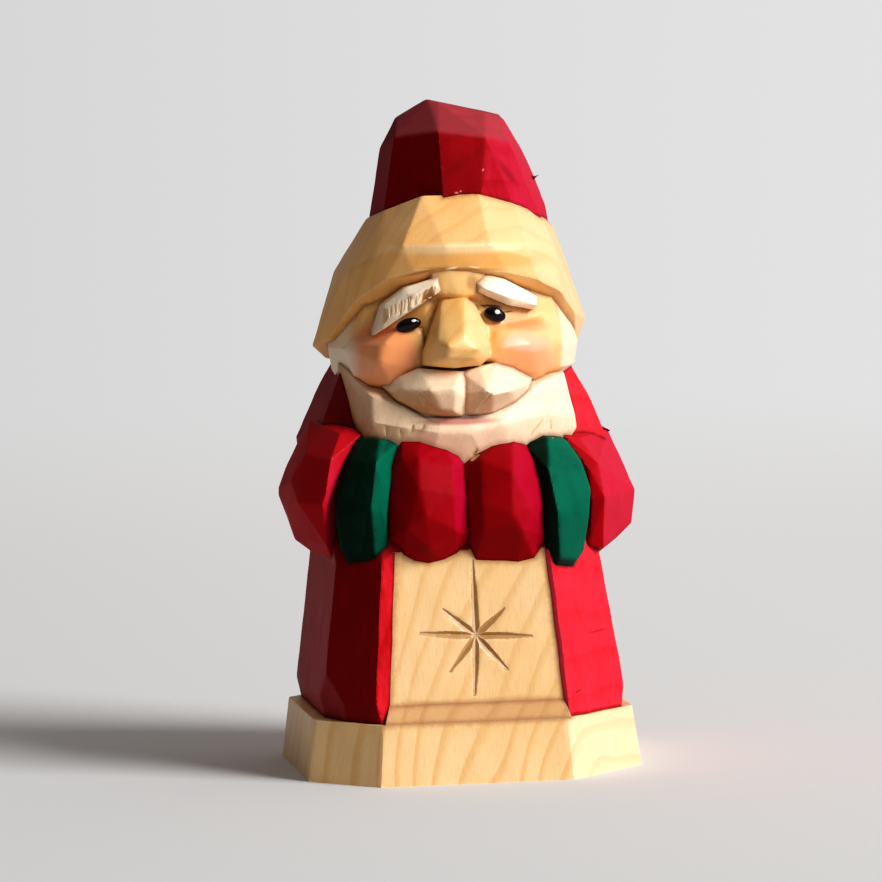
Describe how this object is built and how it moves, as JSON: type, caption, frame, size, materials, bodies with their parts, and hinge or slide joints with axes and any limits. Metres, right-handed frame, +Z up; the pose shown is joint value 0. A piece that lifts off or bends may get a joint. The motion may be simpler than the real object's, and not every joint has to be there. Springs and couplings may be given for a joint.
{
  "type": "carved santa figure",
  "caption": "Small one-piece whittled wooden Father Christmas in a painted red coat and tall hat, on an eight-sided base.",
  "frame": {"origin": "middle of the flat underside of the base", "axes": "+Z up, the figure's face and apron look towards -Y, the figure's left arm is towards +X"},
  "size_m": [0.0502, 0.0488, 0.0947],
  "materials": {
    "painted_basswood": "thin red, green and off-white paint and bare knife-cut basswood under a satin oil finish"
  },
  "bodies": {
    "root": {"santa_figure": "painted_basswood"}
  },
  "joints": []
}
